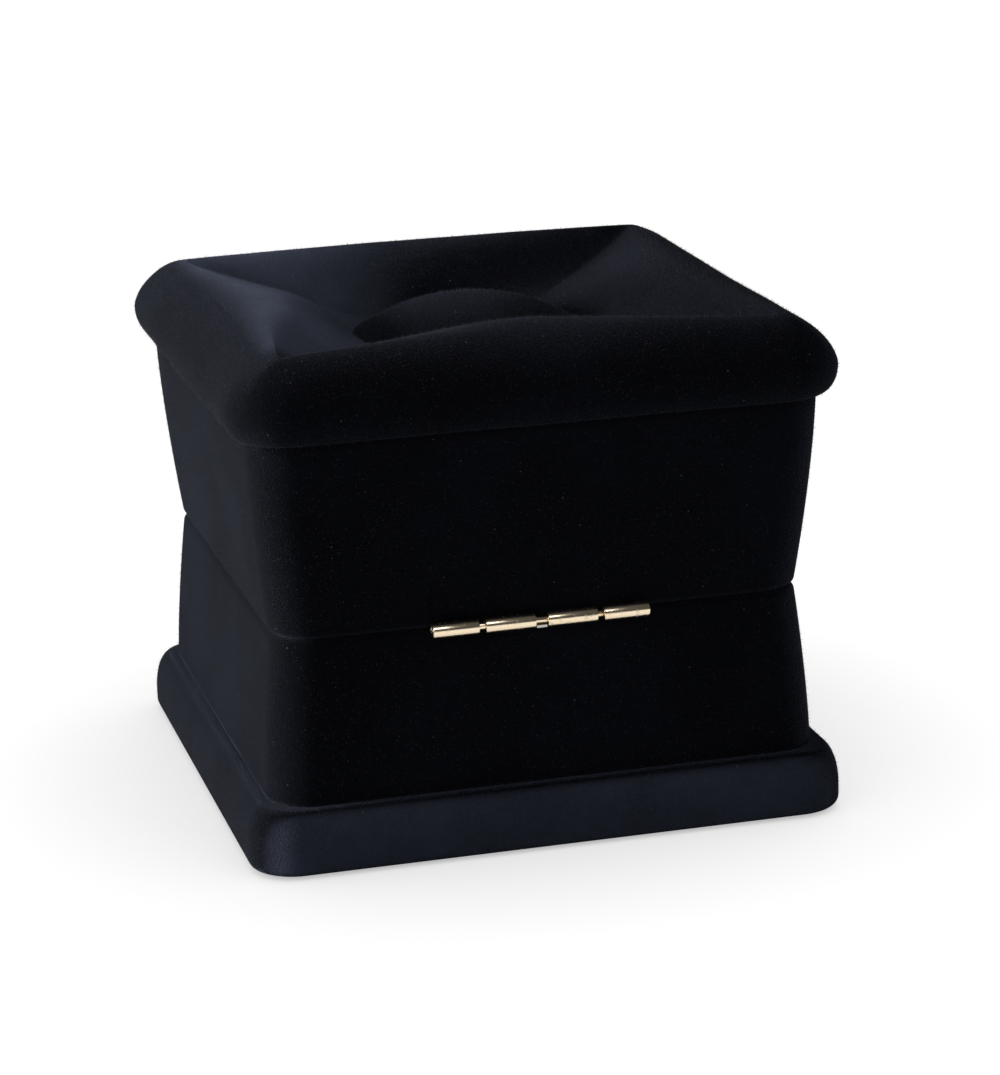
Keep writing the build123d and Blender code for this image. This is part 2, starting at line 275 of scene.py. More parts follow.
class Net:
    """A node tree that is put together from expressions."""

    def __init__(self, tree):
        self.tree = tree

    def feed(self, socket, value):
        """Links or sets one input socket."""
        if isinstance(value, Wire):
            self.tree.links.new(value.socket, socket)
        elif hasattr(value, "__len__") and len(value) == 3 and len(socket.default_value) == 4:
            socket.default_value = (*value, 1)
        else:
            socket.default_value = value

    def node(self, kind, sockets=None, output=0, **settings):
        """The output of a new node, or one for each name in a tuple. Settings come before sockets."""
        node = self.tree.nodes.new(kind)
        for key, value in settings.items():
            setattr(node, key, value)
        for key, value in (sockets or {}).items():
            self.feed(node.inputs[key], value)
        if isinstance(output, tuple):
            return [Wire(self, node.outputs[name]) for name in output]
        return Wire(self, node.outputs[output]) if node.outputs else None

    def maths(self, operation, first, second=0.0):
        return self.node("ShaderNodeMath", {0: first, 1: second}, operation=operation)

    def dot(self, first, second):
        sockets = {0: first, 1: second}
        return self.node("ShaderNodeVectorMath", sockets, "Value", operation="DOT_PRODUCT")

    def part(self, vector, axis):
        return self.node("ShaderNodeSeparateXYZ", {0: vector}, axis)


class Growth(Net):
    """A geometry node group with named inputs."""

    def __init__(self, name, inputs):
        super().__init__(bpy.data.node_groups.new(name, "GeometryNodeTree"))
        interface = self.tree.interface
        interface.new_socket("Geometry", in_out="OUTPUT", socket_type="NodeSocketGeometry")
        for key, (kind, default) in inputs.items():
            socket = interface.new_socket(key, in_out="INPUT", socket_type="NodeSocket" + kind)
            if default is not None:
                socket.default_value = default
        self.given = dict(zip(inputs, self.node("NodeGroupInput", output=tuple(inputs))))

    def finish(self, instances, smooth):
        """Makes the instances real, gives them their material and closes the group."""
        real = self.node("GeometryNodeRealizeInstances", {"Geometry": instances})
        shaded = self.node("GeometryNodeSetShadeSmooth", {"Geometry": real, "Shade Smooth": smooth})
        sockets = {"Geometry": shaded, "Material": self.given["Material"]}
        self.node("NodeGroupOutput", {"Geometry": self.node("GeometryNodeSetMaterial", sockets)})
        return self.tree


class Shader(Net):
    """A material that is put together from expressions."""

    def __init__(self, name):
        self.material = bpy.data.materials.new(name)
        self.material.use_nodes = True
        super().__init__(self.material.node_tree)
        self.tree.nodes.clear()

    def place(self):
        return self.node("ShaderNodeTexCoord", output="Object")

    def grain(self, scale, detail=2, roughness=0.5, stretch=(1, 1, 1)):
        """Noise with that many features a metre, from about 0.3 to 0.7."""
        where = self.node("ShaderNodeMapping", {"Vector": self.place(), "Scale": stretch})
        sockets = {"Vector": where, "Scale": scale, "Detail": detail, "Roughness": roughness}
        return self.node("ShaderNodeTexNoise", sockets)

    def facing(self, way, low=0.30, high=0.95):
        """1 where the surface looks that way, and 0 where it looks across it or away."""
        upright = self.node("ShaderNodeTexCoord", output="Normal")
        return self.between(self.dot(upright, way), low, high)

    def spots(self, scale, size, keep):
        """Round specks: a cell of 1/scale metres holds one if its random value is under keep."""
        sockets = {"Vector": self.place(), "Scale": scale}
        near = self.node("ShaderNodeTexVoronoi", sockets)
        tint = self.node("ShaderNodeTexVoronoi", sockets, output="Color")
        red = self.node("ShaderNodeSeparateColor", {"Color": tint})
        return (near < size) * (red < keep)

    def between(self, value, low, high):
        """value from low to high, as 0 to 1, smoothly."""
        sockets = {"Value": value, "From Min": low, "From Max": high}
        return self.node("ShaderNodeMapRange", sockets, interpolation_type="SMOOTHSTEP")

    def blend(self, share, first, second):
        """A colour from first to second."""
        return self.node("ShaderNodeMix", {0: share, 6: first, 7: second}, 2, data_type="RGBA")

    def bump(self, height, distance, strength):
        """A normal from height, where 1 stands that far out, in metres."""
        sockets = {"Height": height, "Distance": distance, "Strength": strength}
        return self.node("ShaderNodeBump", sockets)

    def finish(self, sockets):
        """The surface shader. Returns the material."""
        surface = self.node("ShaderNodeBsdfPrincipled", sockets)
        self.node("ShaderNodeOutputMaterial", {"Surface": surface})
        return self.material


# ---------------------------------------------------------------- finishes


def scaled(tone, share):
    """A colour times a number."""
    return tuple(share * part for part in tone)


def painted_light_facing(shader, way):
    """The share of painted light, standing in for light that falls where the surface looks that way."""
    return shader.facing(way, 0.55, 0.98)


def painted_light_along_x(shader, start, end):
    """The share of painted light on the top, standing in for light from +X: it grows along X, but not behind
    or on slopes towards +X.
    """
    along = shader.part(shader.place(), "X")
    across = shader.part(shader.place(), "Y")
    behind = shader.between(across, end * 0.85, end * 1.1)
    return shader.between(along, start, end) * (1 - behind) * (1 - shader.facing((1, 0, 0), -0.10, 0.42))


def pile_velvet(name, deep, light, sheen, lint_and_glint, painted_light_share=None, painted_light_tone=None):
    """Short velvet pile: brushed patches, clumped grain, painted glints, lint, painted light where a share
    of it is given, and sheen at the edges.
    """
    shader = Shader(name)
    brushed = shader.between(shader.grain(60, detail=3, roughness=0.6), 0.38, 0.64)
    mottle = shader.between(shader.grain(1100, roughness=0.6), 0.34, 0.68)
    clumps = shader.between(shader.grain(5200, roughness=0.7), 0.34, 0.66)
    share = brushed * 0.60 + mottle * 0.15 + clumps * 0.45
    pile = shader.blend(share, deep, light)
    # Painted light: where a share is given, the colour turns to a lighter tone that stands in for light
    # falling on that part.
    if painted_light_share:
        pile = shader.blend(painted_light_share(shader) * (0.6 + share * 0.4), pile, painted_light_tone)
    # Painted glints: dense small specks that stand in for fibre tips catching light; the sparser specks
    # below are real lint.
    glints = shader.spots(2600, size=0.20, keep=0.16)
    pile = shader.blend(glints * 0.22, pile, lint_and_glint)
    specks = shader.spots(1100, size=0.085, keep=0.12)
    pile = shader.blend(specks * 0.9, pile, lint_and_glint)
    return shader.finish({
        "Base Color": pile,
        "Roughness": 0.95,
        "Specular IOR Level": 0.08,
        "Sheen Weight": 1.0,
        "Sheen Roughness": 0.28,
        "Sheen Tint": sheen,
        "Normal": shader.bump(clumps, 0.10 * MM, strength=0.75),
    })


def single_fibre(name, tone):
    """Fibres that stand out of the pile, some lighter than others."""
    shader = Shader(name)
    share = shader.between(shader.grain(2500, roughness=0.6), 0.5, 0.75)
    return shader.finish({
        "Base Color": shader.blend(share, tone, scaled(tone, 2.5)),
        "Roughness": 0.9,
        "Specular IOR Level": 0.1,
    })


def woven_satin(name, tone):
    """Satin: long floats across a fine weave, with a soft gloss."""
    shader = Shader(name)
    threads = shader.grain(1500, stretch=(1, 9, 1))
    slubs = shader.between(shader.grain(160, stretch=(1, 6, 1)), 0.45, 0.75)
    cloth = shader.blend(threads * 0.7 + slubs * 0.25, scaled(tone, 0.84), tone)
    return shader.finish({
        "Base Color": cloth,
        "Roughness": 0.34 + threads * 0.16,
        "Specular IOR Level": 0.55,
        "Sheen Weight": 0.35,
        "Sheen Roughness": 0.4,
        "Normal": shader.bump(threads, 0.03 * MM, strength=0.5),
    })


def plated_metal(name, tone, roughness):
    """Bright plating with fine scratches along its length and a few dull marks."""
    shader = Shader(name)
    scratches = shader.grain(900, detail=3, roughness=0.6, stretch=(1, 14, 14))
    marks = shader.between(shader.grain(1500, detail=3, roughness=0.6), 0.56, 0.70)
    return shader.finish({
        "Base Color": shader.blend(marks * 0.6, tone, scaled(tone, 0.72)),
        "Metallic": 1.0,
        "Roughness": roughness + scratches * 0.10 + marks * 0.16,
        "Normal": shader.bump(scratches + marks * 0.5, 0.006 * MM, strength=0.25),
    })


def pressed_fibre(name, tone, scale, roughness):
    """Card, felt or foam: short fibres or cells pressed flat."""
    shader = Shader(name)
    fibres = shader.grain(scale, detail=4, roughness=0.65)
    flecks = shader.between(shader.grain(scale * 0.3), 0.52, 0.70)
    return shader.finish({
        "Base Color": shader.blend(fibres * 0.8 + flecks * 0.3, scaled(tone, 0.7), tone),
        "Roughness": roughness,
        "Specular IOR Level": 0.2,
        "Normal": shader.bump(fibres, 0.08 * MM, strength=0.6),
    })


def moulded_shell(name, tone):
    """Plain moulded plastic with a fine spark texture."""
    shader = Shader(name)
    texture = shader.grain(3500)
    return shader.finish({
        "Base Color": shader.blend(texture, tone, scaled(tone, 1.5)),
        "Roughness": 0.5 + texture * 0.2,
        "Normal": shader.bump(texture, 0.03 * MM, strength=0.5),
    })


def finish(name):
    """The named finish, made when it is first asked for."""
    if name in bpy.data.materials:
        return bpy.data.materials[name]
    tone = colours()
    pile = (tone.velvet, tone.velvet_light)
    makers = {
        "navy_velvet": lambda: pile_velvet(name, *pile, tone.velvet_sheen, tone.lint_and_glint),
        # The plinth is painted lighter where it faces +Y, as if more light fell there.
        "plinth_velvet": lambda: pile_velvet(
            name, *pile, tone.velvet_sheen, tone.lint_and_glint,
            lambda shader: painted_light_facing(shader, (0, 1, 0)), tone.plinth_painted_light,
        ),
        # The padded top is painted lighter towards +X, as if lit from that side.
        "top_velvet": lambda: pile_velvet(
            name, *pile, tone.top_sheen, tone.lint_and_glint,
            lambda shader: painted_light_along_x(shader, DOME_HIGH.x * 0.1, DOME_HIGH.x * 1.9), tone.top_painted_light,
        ),
        "pile_fibre": lambda: single_fibre(name, tone.fibre),
        "ivory_velvet": lambda: pile_velvet(
            name, scaled(tone.ivory, 0.8), tone.ivory, (1, 1, 1), tone.ivory
        ),
        "ivory_satin": lambda: woven_satin(name, tone.satin),
        "pale_brass": lambda: plated_metal(name, tone.brass, roughness=0.15),
        "spring_steel": lambda: plated_metal(name, tone.steel, roughness=0.30),
        "grey_card": lambda: pressed_fibre(name, tone.card, scale=2500, roughness=0.9),
        "black_felt": lambda: pressed_fibre(name, tone.felt, scale=3000, roughness=1.0),
        "pale_foam": lambda: pressed_fibre(name, tone.foam, scale=1800, roughness=0.95),
        "moulded_shell": lambda: moulded_shell(name, tone.shell),
    }
    return makers[name]()


# ---------------------------------------------------------------- shapes


def rounded_loop(half_x, half_y, corner):
    """Points of a rounded rectangle, anticlockwise, as many for every size."""
    corner = max(min(corner, half_x, half_y), 0.01 * MM)
    signs = ((1, 1), (-1, 1), (-1, -1), (1, -1))
    centres = [Vector((x * (half_x - corner), y * (half_y - corner))) for x, y in signs]
    points = []
    for quarter, centre in enumerate(centres):
        turn = quarter * math.pi / 2
        for i in range(CORNER_STEPS + 1):
            angle = turn + math.pi / 2 * i / CORNER_STEPS
            points.append(centre + corner * Vector((math.cos(angle), math.sin(angle))))
        outward = Vector((math.cos(turn + math.pi / 2), math.sin(turn + math.pi / 2)))
        start, end = points[-1], centres[(quarter + 1) % 4] + corner * outward
        points += [start.lerp(end, i / SIDE_STEPS) for i in range(1, SIDE_STEPS)]
    return points


def level_ring(half, corner, z):
    """A level ring of a square body."""
    return [Vector((p.x, p.y, z)) for p in rounded_loop(half, half, corner)]


def skin(name, rings, closed=False):
    """A mesh through rings of as many points. It closes on itself, or gets a cap at each end."""
    shape = bmesh.new()
    rows = [[shape.verts.new(point) for point in ring] for ring in rings]
    pairs = list(zip(rows, rows[1:]))
    if closed:
        pairs.append((rows[-1], rows[0]))
    else:
        shape.faces.new(rows[0])
        shape.faces.new(rows[-1])
    for lower, upper in pairs:
        for i in range(len(lower)):
            j = (i + 1) % len(lower)
            shape.faces.new((lower[i], lower[j], upper[j], upper[i]))
    bmesh.ops.recalc_face_normals(shape, faces=shape.faces)
    return as_object(name, shape)


def linked(name, data):
    """A new object in the scene with that data."""
    piece = bpy.data.objects.new(name, data)
    bpy.context.scene.collection.objects.link(piece)
    return piece


def as_object(name, shape):
    """A smooth object from a bmesh, which is freed."""
    mesh = bpy.data.meshes.new(name)
    shape.to_mesh(mesh)
    shape.free()
    mesh.shade_smooth()
    return linked(name, mesh)


def applied(piece):
    """The piece with its modifiers made part of its mesh."""
    seen = piece.evaluated_get(bpy.context.evaluated_depsgraph_get())
    mesh = bpy.data.meshes.new_from_object(seen)
    mesh.name = piece.name
    piece.modifiers.clear()
    old = piece.data
    piece.data = mesh
    bpy.data.meshes.remove(old)
    return piece


def settle(piece, body, material, slot, *nodes):
    """Gives a piece its finish, its body and the nodes that it stands for."""
    piece.data.materials.clear()
    piece.data.materials.append(finish(material))
    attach(piece, body)
    if nodes:
        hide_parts(*nodes)


def quarter(depth, rise, steps):
    """Inset and rise along a quarter ellipse that starts upright and ends level."""
    angles = [math.pi / 2 * i / steps for i in range(1, steps + 1)]
    return [(depth * (1 - math.cos(a)), rise * math.sin(a)) for a in angles]


def flared_half(z, low, high, foot_half, curve):
    """Half width of a wall that is widest at low and curves in to the waist at high."""
    share = min(max((z - low) / (high - low), 0), 1)
    return foot_half - (foot_half - WAIST_HALF) * share**curve


def wall_cover(name, wide_z, foot_half, curve):
    """A velvet skin from the wall's wide end to its waist, turned in along the parting line."""
    size = sizes()
    way = 1 if PARTING > wide_z else -1
    lip, velvet, corner = size.lip, size.velvet, size.body_corner
    rings = []
    start = PARTING - way * lip
    for i in range(WALL_STEPS + 1):
        z = wide_z + (start - wide_z) * i / WALL_STEPS
        rings.append((flared_half(z, wide_z, PARTING, foot_half, curve), corner, z))
    edge = rings[-1][0]
    for inset, rise in quarter(lip, lip, LIP_STEPS):
        rings.append((edge - inset, corner - inset, start + way * rise))
    inner_corner = corner - velvet - (WAIST_HALF - CAVITY_HALF - velvet)
    soft = velvet / 2
    rings += [
        (CAVITY_HALF + soft, inner_corner + soft, PARTING),
        (CAVITY_HALF + soft / 4, inner_corner + soft / 4, PARTING - way * soft / 4),
        (CAVITY_HALF, inner_corner, PARTING - way * soft),
        (CAVITY_HALF, inner_corner, PARTING - way * velvet),
    ]
    for i in range(INNER_WALL_STEPS + 1):
        z = PARTING - way * velvet + (wide_z - PARTING + way * velvet) * i / INNER_WALL_STEPS
        half = flared_half(z, wide_z, PARTING, foot_half, curve) - velvet
        rings.append((half, corner - velvet, z))
    return skin(name, [level_ring(*ring) for ring in rings], closed=True)


def plinth_cover(name):
    """The velvet skin on the plinth."""
    size = sizes()
    half = PLINTH_HIGH.x
    corner = size.plinth_corner
    low, high = PLINTH_LOW.z, PLINTH_HIGH.z
    foot = quarter(size.plinth_foot_inset, size.plinth_foot_round, FOOT_STEPS)
    shoulder = quarter(size.plinth_top_inset, size.plinth_top_round, SHOULDER_STEPS)
    foot_z, shoulder_z = low + size.plinth_foot_round, high - size.plinth_top_round
    outside = [
        (size.plinth_foot_inset + PLINTH_FOOT_TUCK, low),
        *((inset, foot_z - rise) for inset, rise in reversed(foot)),
        (0, foot_z),
        (0, shoulder_z),
        *((inset, shoulder_z + rise) for inset, rise in shoulder),
        (size.plinth_top_inset + PLINTH_TOP_TUCK, high),
    ]
    rings = [level_ring(half - inset, corner - inset * 0.5, z) for inset, z in outside]
    thick = size.velvet
    for inset, z in reversed(outside):
        inner_z = low + thick + (z - low) * (high - low - 2 * thick) / (high - low)
        rings.append(level_ring(half - max(inset, thick), corner - max(inset, thick) * 0.5, inner_z))
    return skin(name, rings, closed=True)


def superquarter(power, steps):
    """Shares of the way in and up along a quarter of a superellipse."""
    angles = [math.pi / 2 * i / steps for i in range(1, steps + 1)]
    return [(1 - max(math.cos(a), 0) ** (2 / power), math.sin(a) ** (2 / power)) for a in angles]


def square_reach(fold, tip, middle, point, power):
    """How far a square with bent sides reaches in the direction that lies fold off an axis."""
    return (middle + (point - middle) * tip**power) / math.cos(fold)


def top_cushion(name):
    """The padded top: a puffed frame on four sides, and a well with four points."""
    size = sizes()
    half, corner = PAD_HIGH.x, size.rim_corner
    low, crest, floor = PAD_LOW.z - size.rim_skirt, PAD_HIGH.z, DOME_LOW.z
    widest = low + size.rim_edge_height
    board = BOARD_HIGH.x - 1 * MM
    rings = [level_ring(board, corner - 2 * MM, z) for z in (BOARD_HIGH.z, PAD_LOW.z)]
    for inset, rise in reversed(quarter(size.rim_edge_inset, size.rim_edge_height, RIM_EDGE_STEPS)):
        rings.append(level_ring(half - inset, corner - inset * 0.6, widest - rise))
    outer = rounded_loop(half, half, corner)
    rings.append([Vector((p.x, p.y, widest)) for p in outer])
    rays = []
    for p in outer:
        angle = math.atan2(p.y, p.x)
        fold = abs((angle + math.pi / 4) % (math.pi / 2) - math.pi / 4)
        tip = math.sin(fold) / math.sin(math.pi / 4)
        ridge = square_reach(fold, tip, size.crest_middle, size.crest_point, 1.6)
        bend = square_reach(fold, tip, size.well_middle, size.well_point, size.well_bend)
        fall = size.middle_fall + (size.point_fall - size.middle_fall) * tip**3
        toward = Vector((math.cos(angle), math.sin(angle), 0))
        rays.append((toward, p.length, ridge, bend, crest - size.crest_drop * tip**2, fall))
    for inward, upward in superquarter(size.crown_power, CROWN_STEPS):
        rings.append([
            toward * (rim + (ridge - rim) * inward) + UP * (widest + (top - widest) * upward)
            for toward, rim, ridge, bend, top, fall in rays
        ])
    for i in range(1, WELL_STEPS + 1):
        part = i / WELL_STEPS
        rings.append([
            toward * bezier(part, ridge, bend, size.well_floor) + UP * (top - (top - floor) * part**fall)
            for toward, rim, ridge, bend, top, fall in rays
        ])
    return skin(name, rings)


def bezier(part, first, steer, last):
    """A number that runs from first to last and is drawn towards steer on the way."""
    return (1 - part) ** 2 * first + 2 * part * (1 - part) * steer + part**2 * last


def relax(piece, rounds, share, chosen):
    """Smooths the chosen points towards their neighbours."""
    shape = bmesh.new()
    shape.from_mesh(piece.data)
    points = [v for v in shape.verts if chosen(v.co)]
    for _ in range(rounds):
        bmesh.ops.smooth_vert(
            shape, verts=points, factor=share, use_axis_x=True, use_axis_y=True, use_axis_z=True
        )
    shape.to_mesh(piece.data)
    shape.free()


def wobble(piece, reach, scale, seed):
    """Moves points along their normals by soft noise, as padding under cloth does."""
    offset = Vector((seed, seed * 0.7, seed * 1.3))
    normals = [v.normal.copy() for v in piece.data.vertices]
    for vertex, normal in zip(piece.data.vertices, normals):
        vertex.co += normal * noise.noise(vertex.co * scale + offset) * reach


def circle(radius, steps):
    """Points of a circle, anticlockwise."""
    turns = [2 * math.pi * k / steps for k in range(steps)]
    return [(radius * math.cos(a), radius * math.sin(a)) for a in turns]


def dome_button(name):
    """The padded dome, with its edge tucked into the well's floor."""
    radius = DOME_HIGH.x
    rise = DOME_HIGH.z - DOME_LOW.z
    ball = (radius**2 + rise**2) / (2 * rise)
    centre_z = DOME_HIGH.z - ball
    rings = [(radius - 0.5 * MM, DOME_LOW.z), (radius - 0.15 * MM, DOME_LOW.z + 0.05 * MM)]
    spread = math.asin(radius / ball)
    for i in range(DOME_RINGS):
        angle = spread * (1 - i / DOME_RINGS) ** 0.9
        z = centre_z + ball * math.cos(angle)
        rings.append((ball * math.sin(angle), max(z, DOME_LOW.z + 0.12 * MM)))
    return skin(name, [[Vector((x, y, z)) for x, y in circle(reach, DOME_STEPS)] for reach, z in rings])


def rounded_pad(name, low, high, corner, edge, side_share):
    """A pad between two corners with rounded upright edges and a soft crown on top."""
    middle = (low + high) / 2
    half_x, half_y = (high.x - low.x) / 2, (high.y - low.y) / 2
    tall = high.z - low.z
    rings = [(edge * 0.15, 0), (0, tall * 0.06), (0, tall * side_share)]
    crown = quarter(edge, tall * (1 - side_share), PAD_EDGE_STEPS)
    rings += [(inset, tall * side_share + rise) for inset, rise in crown]
    loops = []
    for inset, z in rings:
        loop = rounded_loop(half_x - inset, half_y - inset, corner)
        loops.append([Vector((middle.x + p.x, middle.y + p.y, low.z + z)) for p in loop])
    return skin(name, loops)


def swell(piece, low, high):
    """Blows a pad up as cloth, caps how far its points move, and keeps it in its own box."""
    remesh = piece.modifiers.new("even mesh", "REMESH")
    remesh.mode = "VOXEL"
    remesh.voxel_size = PAD_VOXEL
    applied(piece)
    start = [v.co.copy() for v in piece.data.vertices]
    scene = bpy.context.scene
    cloth = piece.modifiers.new("padding", "CLOTH")
    cloth.settings.use_pressure = True
    cloth.settings.uniform_pressure_force = PAD_PRESSURE
    cloth.settings.effector_weights.gravity = 0
    cloth.settings.quality = CLOTH_QUALITY
    cloth.point_cache.frame_start = 1
    cloth.point_cache.frame_end = CLOTH_FRAMES
    for step in range(1, CLOTH_FRAMES + 1):
        scene.frame_set(step)
    applied(piece)
    scene.frame_set(1)
    for vertex, first in zip(piece.data.vertices, start):
        move = vertex.co - first
        if move.length > PAD_REACH:
            vertex.co = first + move * (PAD_REACH / move.length)
        vertex.co = Vector(min(max(c, a), b) for c, a, b in zip(vertex.co, low, high))
    finer = piece.modifiers.new("finer", "SUBSURF")
    finer.levels = finer.render_levels = 1
    applied(piece)
    piece.data.shade_smooth()


# ---------------------------------------------------------------- the hinge


def knuckle_tree():
    """A row of curled knuckles along X, each a tube with softened ends."""
    grow = Growth("Hinge Knuckles", {
        "Barrel Radius": ("Float", 0.85 * MM),
        "Bore Radius": ("Float", 0.43 * MM),
        "Knuckle Length": ("Float", 5 * MM),
        "Spacing": ("Float", 10 * MM),
        "Softening": ("Float", 0.08 * MM),
        "Count": ("Int", 2),
        "Material": ("Material", None),
    })
    given = grow.given
    wall = given["Barrel Radius"] - given["Bore Radius"]
    mean = (given["Barrel Radius"] + given["Bore Radius"]) * 0.5
    path = grow.node("GeometryNodeCurvePrimitiveCircle", {"Resolution": BARREL_STEPS, "Radius": mean})
    sockets = {"Width": wall, "Height": given["Knuckle Length"]}
    section = grow.node("GeometryNodeCurvePrimitiveQuadrilateral", sockets)
    soft = grow.node("GeometryNodeFilletCurve", {
        "Curve": section, "Count": 3, "Radius": given["Softening"], "Limit Radius": True,
    }, mode="POLY")
    tube = grow.node("GeometryNodeCurveToMesh", {"Curve": path, "Profile Curve": soft})
    turned = grow.node("GeometryNodeTransform", {"Geometry": tube, "Rotation": (0, math.pi / 2, 0)})
    step = grow.node("ShaderNodeCombineXYZ", {"X": given["Spacing"]})
    row = grow.node("GeometryNodeMeshLine", {"Count": given["Count"], "Offset": step})
    knuckles = grow.node("GeometryNodeInstanceOnPoints", {"Points": row, "Instance": turned})
    return grow.finish(knuckles, True)


def pile_tree():
    """Short fibres that stand on the outside of velvet, clear of the parting line and the table."""
    grow = Growth("Velvet Pile", {
        "Velvet": ("Geometry", None),
        "Density": ("Float", 5e6),
        "Fibre Length": ("Float", 0.3 * MM),
        "Fibre Radius": ("Float", 0.012 * MM),
        "Lean": ("Float", 0.6),
        "Parting Height": ("Float", 24.6 * MM),
        "Bare Band": ("Float", 1.2 * MM),
        "Seed": ("Int", 7),
        "Material": ("Material", None),
    })
    given = grow.given
    position = grow.node("GeometryNodeInputPosition")
    normal = grow.node("GeometryNodeInputNormal")
    level = grow.node("ShaderNodeVectorMath", {0: position, 1: (1, 1, 0)}, operation="MULTIPLY")
    outward = grow.dot(level, normal)
    height = grow.part(position, "Z")
    upward = grow.part(normal, "Z")
    off_parting = grow.maths("ABSOLUTE", height - given["Parting Height"]) > given["Bare Band"]
    off_table = height > given["Bare Band"]
    outside = grow.maths("MAXIMUM", outward > 0, upward > 0.3) * off_parting * off_table
    points, upright = grow.node("GeometryNodeDistributePointsOnFaces", {
        "Mesh": given["Velvet"], "Selection": outside, "Density": given["Density"], "Seed": given["Seed"],
    }, ("Points", "Rotation"))
    least = grow.node("ShaderNodeCombineXYZ", {"X": -given["Lean"], "Y": -given["Lean"]})
    most = grow.node("ShaderNodeCombineXYZ", {
        "X": given["Lean"], "Y": given["Lean"], "Z": 2 * math.pi,
    })
    sockets = {0: least, 1: most, "Seed": given["Seed"]}
    leaning = grow.node("FunctionNodeRandomValue", sockets, data_type="FLOAT_VECTOR")
    euler = grow.node("FunctionNodeEulerToRotation", {0: leaning})
    turned = grow.node("FunctionNodeRotateRotation", {0: upright, 1: euler}, rotation_space="LOCAL")
    fibre = grow.node("GeometryNodeMeshCone", {
        "Vertices": 3, "Radius Top": 0.0,
        "Radius Bottom": given["Fibre Radius"], "Depth": given["Fibre Length"],
    }, fill_type="NONE")
    sockets = {2: LEAST_FIBRE, 3: MOST_FIBRE, "Seed": given["Seed"] + 1}
    tall = grow.node("FunctionNodeRandomValue", sockets, 1, data_type="FLOAT")
    return grow.finish(grow.node("GeometryNodeInstanceOnPoints", {
        "Points": points, "Instance": fibre, "Rotation": turned, "Scale": tall,
    }), False)


def grown(name, tree, values, start=None):
    """A plain mesh object from a geometry node tree with those inputs, on a starting mesh."""
    piece = linked(name, start or bpy.data.meshes.new(name))
    modifier = piece.modifiers.new(name, "NODES")
    modifier.node_group = tree
    for item in tree.interface.items_tree:
        if item.in_out == "INPUT" and item.name in values:
            modifier[item.identifier] = values[item.name]
    return applied(piece)


def soft_block(shape, low, high, softening):
    """Adds a block with softened edges to a bmesh."""
    made = bmesh.ops.create_cube(shape, size=1)["verts"]
    middle, extent = (low + high) / 2, high - low
    for vertex in made:
        vertex.co = Vector(m + c * e for m, c, e in zip(middle, vertex.co, extent))
    edges = {edge for vertex in made for edge in vertex.link_edges}
    bmesh.ops.bevel(shape, geom=list(edges), offset=softening, segments=2, affect="EDGES", profile=0.5)


def knuckle_spans(node):
    """The x ranges of a leaf's knuckles, read from the part of it behind the barrel's middle."""
    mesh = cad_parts[node].data
    behind = sorted({round(v.co.x, 7) for v in mesh.vertices if v.co.y > PIN_MIDDLE.y + BARREL_RADIUS / 2})
    spans, start = [], behind[0]
    for x, following in zip(behind, behind[1:] + [None]):
        if following is None or following - x > LEAST_GAP and is_gap(mesh, (x + following) / 2):
            spans.append((start, x))
            start = following
    return spans


def is_gap(mesh, x):
    """True where no triangle of the barrel crosses that x."""
    for polygon in mesh.polygons:
        points = [mesh.vertices[i].co for i in polygon.vertices]
        across = [p.x for p in points]
        if min(p.y for p in points) > PIN_MIDDLE.y and min(across) < x < max(across):
            return False
    return True


def hinge_leaf(name, node):
    """A brass leaf: its plate against the shell, its necks, and its curled knuckles."""
    low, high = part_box(node)
    spans = knuckle_spans(node)
    length_x = spans[0][1] - spans[0][0]
    bore = PIN_RADIUS + PIN_CLEARANCE
    piece = grown(name, knuckle_tree(), {
        "Barrel Radius": BARREL_RADIUS,
        "Bore Radius": bore,
        "Knuckle Length": length_x,
        "Spacing": spans[-1][0] - spans[0][0],
        "Softening": KNUCKLE_SOFTENING,
        "Count": len(spans),
        "Material": finish("pale_brass"),
    })
    first = Vector(((spans[0][0] + spans[0][1]) / 2, PIN_MIDDLE.y, PIN_MIDDLE.z))
    piece.data.transform(Matrix.Translation(first))
    shape = bmesh.new()
    shape.from_mesh(piece.data)
    thick = BARREL_RADIUS - bore
    up = high.z - PARTING > PARTING - low.z
    near, far = (0, high.z - PARTING) if up else (low.z - PARTING, 0)
    soft_block(shape, Vector((low.x, CAVITY_HALF, PARTING + near)),
               Vector((high.x, CAVITY_HALF + thick, PARTING + far)), PLATE_SOFTENING)
    neck_low, neck_high = (0, thick) if up else (-thick, 0)
    for start, end in spans:
        soft_block(shape, Vector((start, CAVITY_HALF + thick / 2, PARTING + neck_low)),
                   Vector((end, PIN_MIDDLE.y - bore - thick / 4, PARTING + neck_high)), PLATE_SOFTENING)
    shape.to_mesh(piece.data)
    shape.free()
    piece.data.shade_smooth()
    return piece


def brass_pin(name):
    """The hinge pin, with its ends rounded over."""
    start, end = PIN_LOW.x, PIN_HIGH.x
    soft = PIN_RADIUS * 0.45
    stations = [
        (start, PIN_RADIUS - soft),
        (start + soft * 0.7, PIN_RADIUS - soft * 0.3),
        (start + soft, PIN_RADIUS),
        (end - soft, PIN_RADIUS),
        (end - soft * 0.3, PIN_RADIUS - soft * 0.3),
        (end, PIN_RADIUS - soft),
    ]
    loops = []
    for x, reach in stations:
        loops.append([PIN_MIDDLE + Vector((x - PIN_MIDDLE.x, y, z)) for y, z in circle(reach, PIN_STEPS)])
    return skin(name, loops)


# ---------------------------------------------------------------- operators


